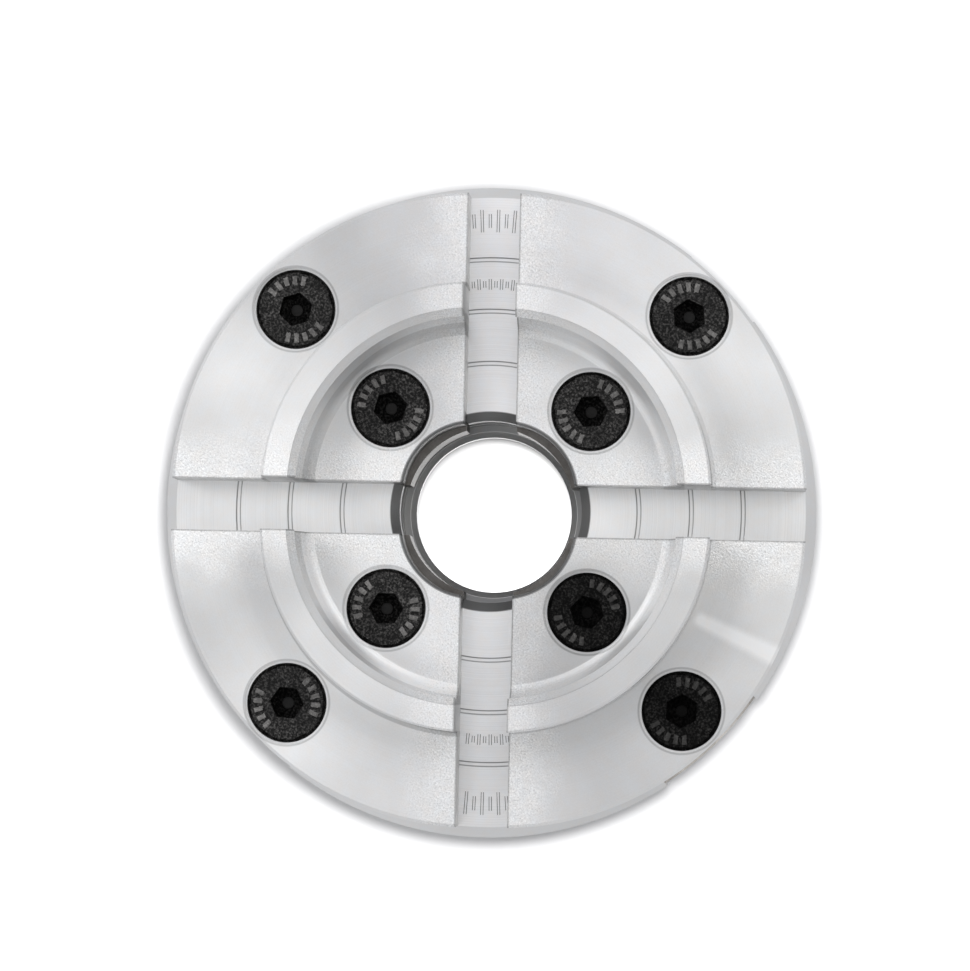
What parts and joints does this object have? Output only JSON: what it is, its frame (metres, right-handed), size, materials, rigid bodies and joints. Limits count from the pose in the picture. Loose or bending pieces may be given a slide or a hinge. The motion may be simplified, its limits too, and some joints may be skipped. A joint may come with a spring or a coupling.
{
  "type": "four-jaw scroll chuck",
  "caption": "Self-centring woodturning lathe chuck with dovetail top jaws on sliding base jaws, a scroll with a ring gear, hex-key pinions and a screwed spindle bore.",
  "frame": {"origin": "centre of the hub's rear face, on the spindle axis, where the chuck stands", "axes": "+Z along the spindle axis, towards the open jaws; jaw 1 and its pinion are on +X, jaw 2 on +Y, jaw 3 and the other pinion on -X, jaw 4 on -Y"},
  "size_m": [0.0912, 0.092, 0.065],
  "materials": {
    "satin_steel": "fine turned satin with rings about the axis",
    "body_steel": "turned satin, slightly duller than the jaws",
    "dark_steel": "machined steel with an oil film, grey",
    "black_oxide": "grainy black oxide",
    "bearing_bronze": "oiled bronze"
  },
  "bodies": {
    "housing": {"chuck_body": "body_steel", "rear_cover": "body_steel", "cover_screws": "black_oxide", "pinion_retaining_pins": "dark_steel", "scroll_retaining_ring": "dark_steel", "scroll_thrust_washer": "bearing_bronze", "spindle_lock_screw": "black_oxide"},
    "scroll": {"scroll_gear": "dark_steel"},
    "key_pinion_1": {"pinion_1": "dark_steel"},
    "key_pinion_2": {"pinion_2": "dark_steel"},
    "jaw_1": {"jaw_slide_1": "dark_steel", "top_jaw_1": "satin_steel", "jaw_screw_inner_1": "black_oxide", "jaw_screw_outer_1": "black_oxide", "slide_stop_pin_1": "dark_steel"},
    "jaw_2": {"jaw_slide_2": "dark_steel", "top_jaw_2": "satin_steel", "jaw_screw_inner_2": "black_oxide", "jaw_screw_outer_2": "black_oxide", "slide_stop_pin_2": "dark_steel"},
    "jaw_3": {"jaw_slide_3": "dark_steel", "top_jaw_3": "satin_steel", "jaw_screw_inner_3": "black_oxide", "jaw_screw_outer_3": "black_oxide", "slide_stop_pin_3": "dark_steel"},
    "jaw_4": {"jaw_slide_4": "dark_steel", "top_jaw_4": "satin_steel", "jaw_screw_inner_4": "black_oxide", "jaw_screw_outer_4": "black_oxide", "slide_stop_pin_4": "dark_steel"}
  },
  "joints": [
    {"name": "scroll_turn", "type": "hinge", "parent": "housing", "child": "scroll", "pos_m": [0, 0, 0.0318], "axis": [0, 0, 1], "range_deg": [-345.6, 540]},
    {"name": "jaw_1_slide", "type": "slide", "parent": "housing", "child": "jaw_1", "axis": [1, 0, 0], "range_m": [-0.00481, 0.00751]},
    {"name": "jaw_2_slide", "type": "slide", "parent": "housing", "child": "jaw_2", "axis": [0, 1, 0], "range_m": [-0.00481, 0.00751]},
    {"name": "jaw_3_slide", "type": "slide", "parent": "housing", "child": "jaw_3", "axis": [-1, 0, 0], "range_m": [-0.00481, 0.00751]},
    {"name": "jaw_4_slide", "type": "slide", "parent": "housing", "child": "jaw_4", "axis": [0, -1, 0], "range_m": [-0.00481, 0.00751]},
    {"name": "pinion_1_turn", "type": "hinge", "parent": "housing", "child": "key_pinion_1", "pos_m": [0.04, 0, 0.0205], "axis": [1, 0, 0], "range_deg": [-2881, 1844]},
    {"name": "pinion_2_turn", "type": "hinge", "parent": "housing", "child": "key_pinion_2", "pos_m": [-0.04, 0, 0.0205], "axis": [-1, 0, 0], "range_deg": [-2881, 1844]}
  ],
  "couplings": [
    {"joint": "jaw_1_slide", "follows": "scroll_turn", "m_per_rad": 0.00079577},
    {"joint": "jaw_2_slide", "follows": "scroll_turn", "m_per_rad": 0.00079577},
    {"joint": "jaw_3_slide", "follows": "scroll_turn", "m_per_rad": 0.00079577},
    {"joint": "jaw_4_slide", "follows": "scroll_turn", "m_per_rad": 0.00079577},
    {"joint": "pinion_1_turn", "follows": "scroll_turn", "ratio": -5.3333},
    {"joint": "pinion_2_turn", "follows": "scroll_turn", "ratio": -5.3333}
  ]
}
